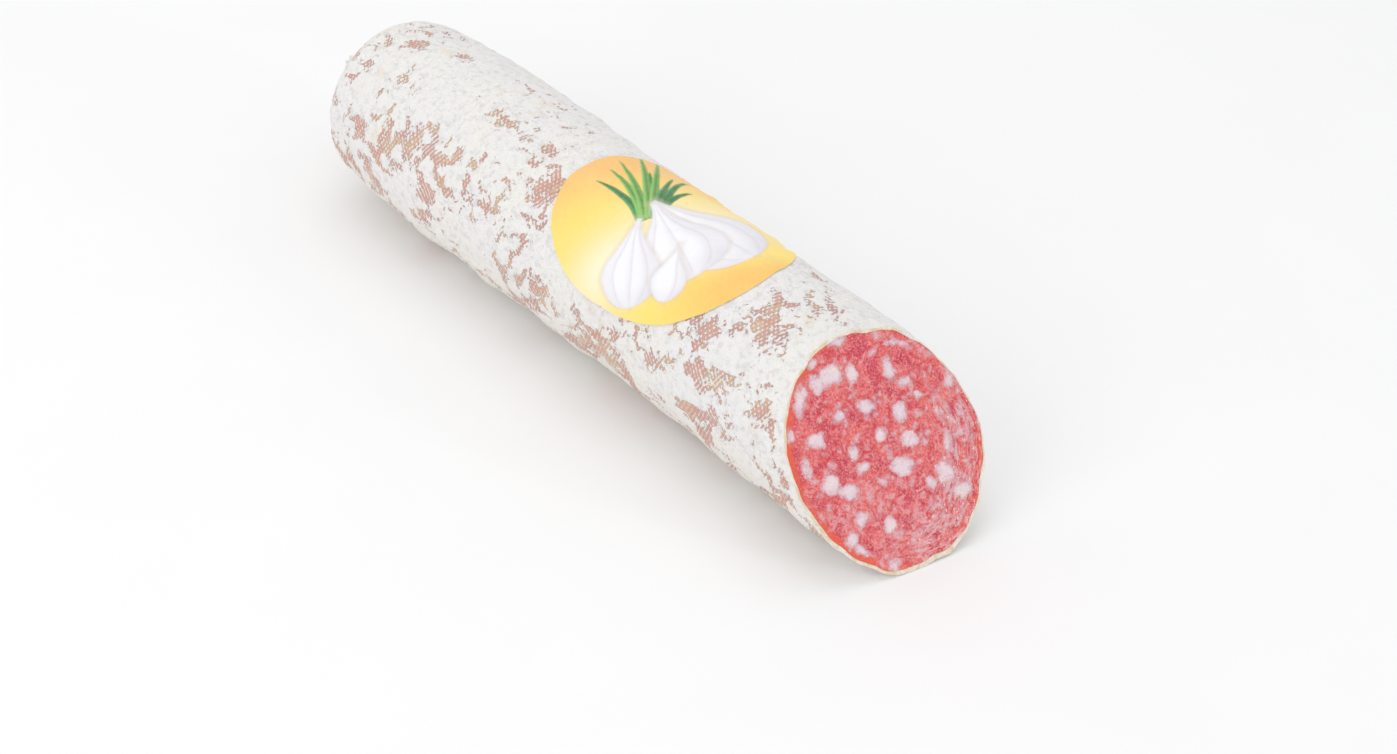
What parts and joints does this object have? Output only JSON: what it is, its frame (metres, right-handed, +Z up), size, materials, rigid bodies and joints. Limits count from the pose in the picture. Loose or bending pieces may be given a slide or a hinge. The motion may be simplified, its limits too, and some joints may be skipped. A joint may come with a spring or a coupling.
{
  "type": "cured sausage",
  "caption": "Cut cured sausage lying on its side, with a white mould-bloomed textile casing, a marbled cut face, an oval paper label and a clipped end.",
  "frame": {"origin": "middle of the sausage's footprint, on the surface that it lies on", "axes": "+X along the sausage towards the cut face, +Z up; the label leans a little towards -Y"},
  "size_m": [0.2428, 0.0534, 0.0528],
  "materials": {
    "casing": "matte",
    "filling": "moist satin",
    "label": "satin",
    "clip": "satin"
  },
  "bodies": {
    "root": {"casing": "casing", "filling": "filling", "label": "label", "clip": "clip"}
  },
  "joints": []
}
